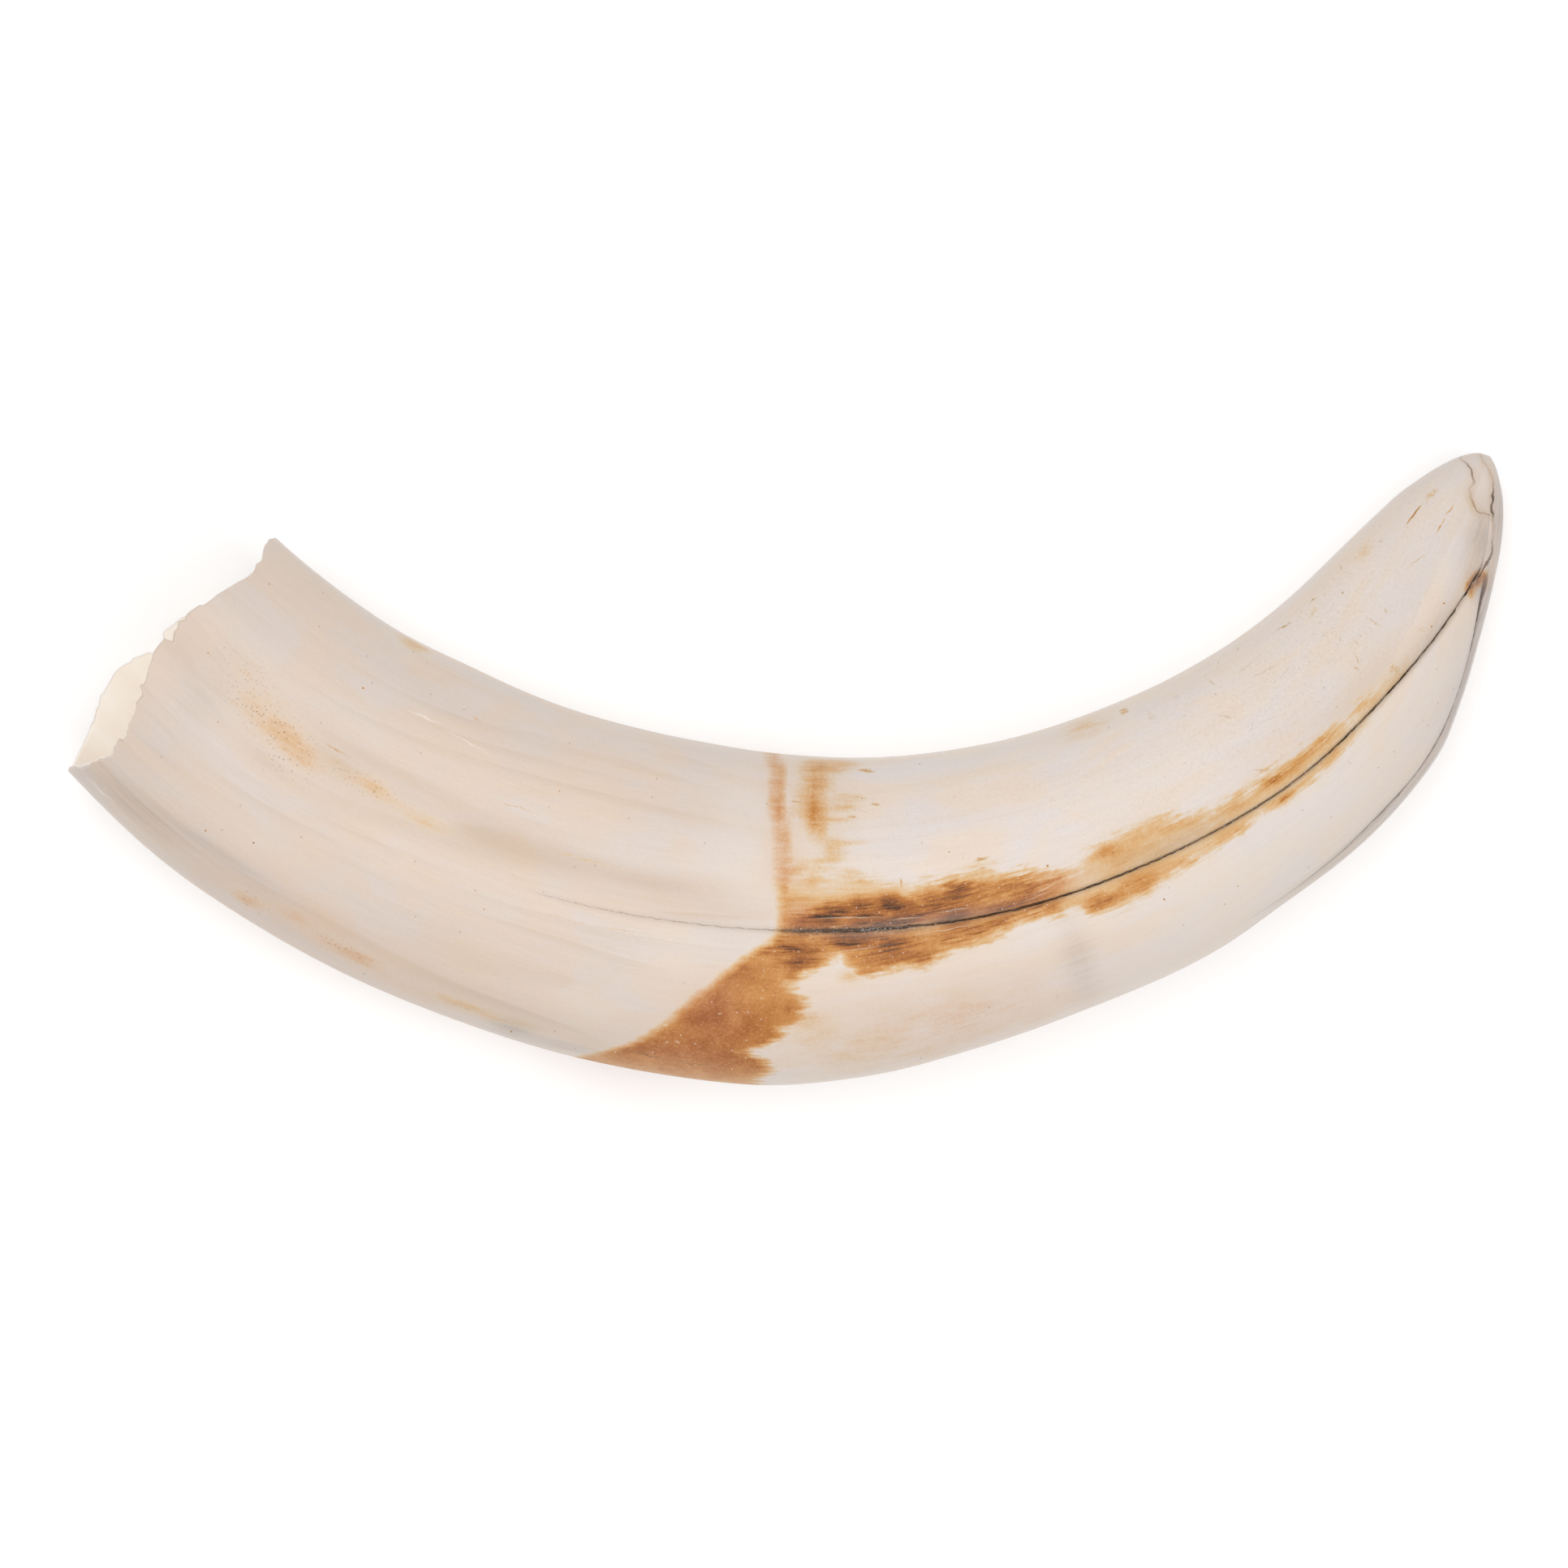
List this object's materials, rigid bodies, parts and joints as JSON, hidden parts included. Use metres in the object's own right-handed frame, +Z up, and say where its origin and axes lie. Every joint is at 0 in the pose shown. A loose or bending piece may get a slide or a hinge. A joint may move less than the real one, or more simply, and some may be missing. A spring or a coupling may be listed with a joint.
{
  "type": "warthog tusk",
  "caption": "Curved hollow-rooted upper tusk, blunt at the tip and thin and jagged at the broken root, furrowed along its flanks and cracked along one; lies on its side.",
  "frame": {"origin": "middle of the tusk's plan outline, on the surface that it lies on", "axes": "+X from the broken root towards the tip, +Y towards the inside of the curl, +Z up from the surface, out of the flank that shows"},
  "size_m": [0.1595, 0.0701, 0.0283],
  "materials": {
    "ivory": "soft polished dentine, cream with brown stains"
  },
  "bodies": {
    "root": {"warthog_tusk": "ivory"}
  },
  "joints": []
}
